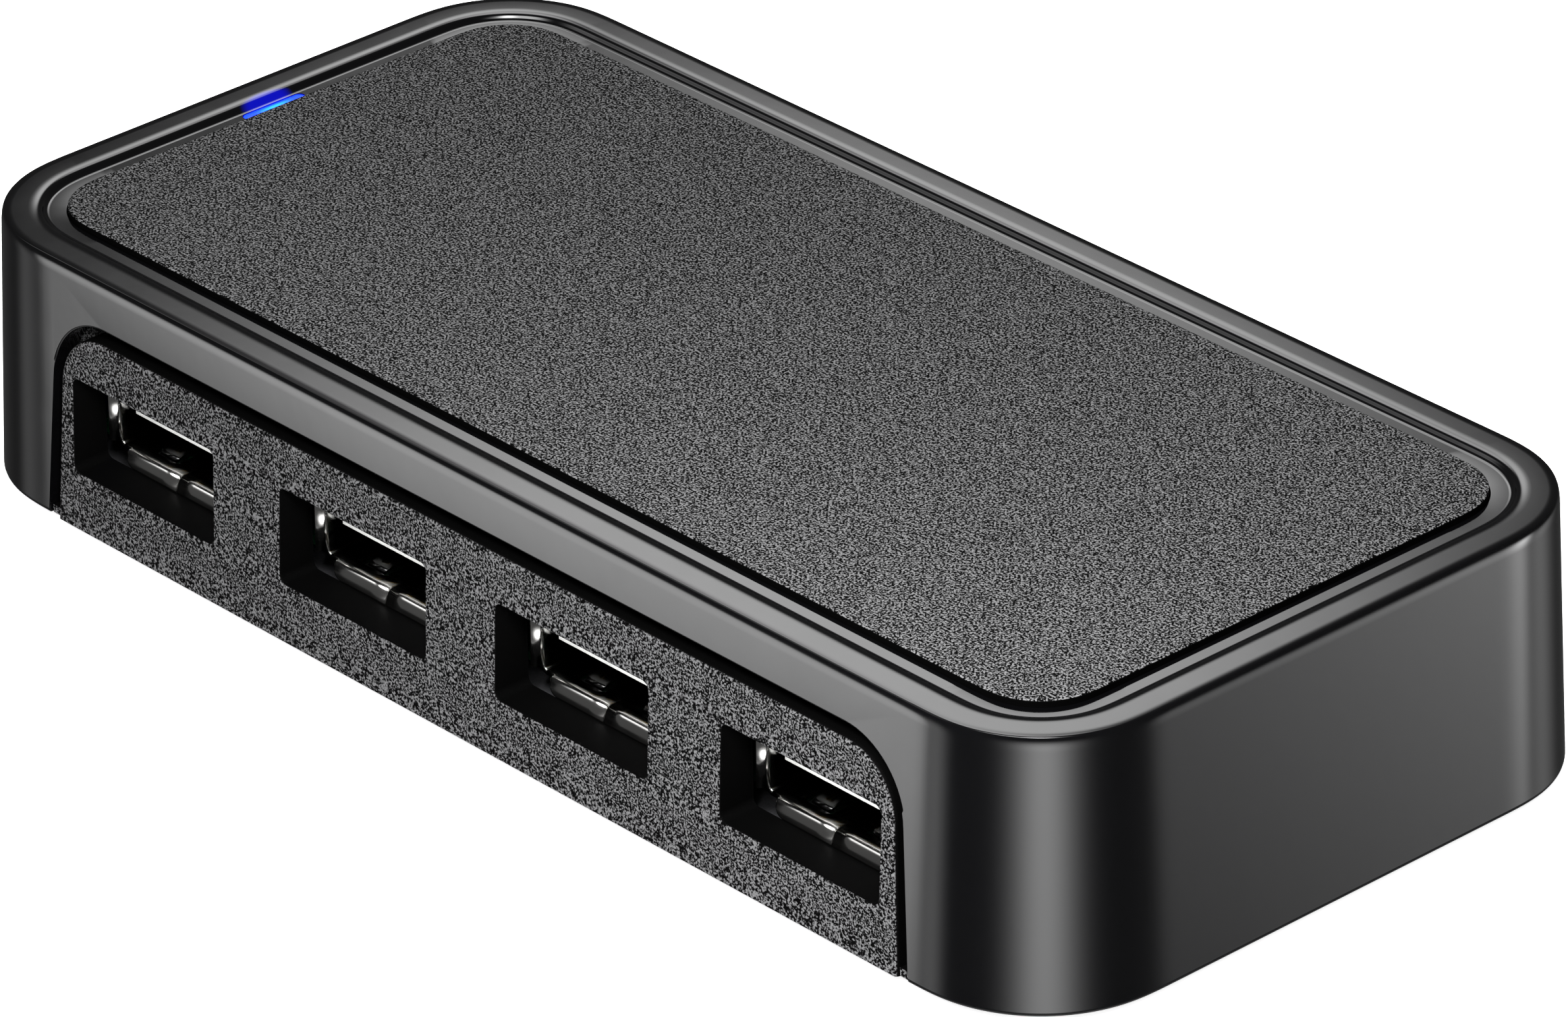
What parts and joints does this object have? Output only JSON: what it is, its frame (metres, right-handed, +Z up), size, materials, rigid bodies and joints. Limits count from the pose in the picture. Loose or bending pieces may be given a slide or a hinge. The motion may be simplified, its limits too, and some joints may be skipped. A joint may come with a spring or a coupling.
{
  "type": "usb hub",
  "caption": "Flat rounded box in gloss plastic with a textured top insert, a textured front panel of square plug sockets, a blue status light, rubber feet and rear inlets.",
  "frame": {"origin": "middle of the case in plan, on the plane that the rubber feet stand on", "axes": "+X along the long side to the right as seen from the front, +Y from the front with the four sockets to the back with the inlets, +Z up"},
  "size_m": [0.1002, 0.0494, 0.0187],
  "materials": {
    "gloss_case": "moulded ABS, high gloss, near black",
    "textured_plastic": "moulded ABS with a fine leather grain, near black",
    "panel_plastic": "moulded ABS with a fine grain, near black",
    "adhesive": "double-sided bonding sheet",
    "base_plastic": "moulded ABS, lightly textured, near black",
    "foot_rubber": "soft moulded rubber, dull",
    "screw_steel": "zinc-plated steel",
    "board_laminate": "glass-fibre laminate with green solder resist",
    "chip_plastic": "moulded epoxy package",
    "plated_can": "nickel-plated, smooth",
    "capacitor_can": "drawn can on a moulded base, satin",
    "fuse_body": "coated polymer fuse, dull green",
    "chip_ceramic": "fired ceramic body, dull tan",
    "light_source": "clear resin over a blue light-emitting chip",
    "light_lens": "translucent blue resin, lit from below",
    "socket_steel": "nickel-plated stamped steel",
    "socket_plastic": "moulded polyester, white",
    "dark_socket_plastic": "moulded polyester, black",
    "gilt_contact": "gold-plated copper alloy"
  },
  "bodies": {
    "root": {"top_shell": "gloss_case", "top_inlay": "textured_plastic", "inlay_adhesive": "adhesive", "front_panel": "panel_plastic", "bottom_cover": "base_plastic", "rubber_feet": "foot_rubber", "case_screws": "screw_steel", "circuit_board": "board_laminate", "board_screws": "screw_steel", "hub_controller": "chip_plastic", "crystal": "plated_can", "port_capacitors": "capacitor_can", "port_fuses": "fuse_body", "bypass_components": "chip_ceramic", "led_chip": "light_source", "light_pipe": "light_lens", "usb_a_shell_1": "socket_steel", "usb_a_insulator_1": "socket_plastic", "usb_a_contacts_1": "gilt_contact", "usb_a_shell_2": "socket_steel", "usb_a_insulator_2": "socket_plastic", "usb_a_contacts_2": "gilt_contact", "usb_a_shell_3": "socket_steel", "usb_a_insulator_3": "socket_plastic", "usb_a_contacts_3": "gilt_contact", "usb_a_shell_4": "socket_steel", "usb_a_insulator_4": "socket_plastic", "usb_a_contacts_4": "gilt_contact", "mini_b_shell": "socket_steel", "mini_b_insulator": "dark_socket_plastic", "mini_b_contacts": "gilt_contact", "dc_jack_body": "dark_socket_plastic", "dc_jack_pin": "plated_can", "dc_jack_spring": "plated_can"}
  },
  "joints": []
}
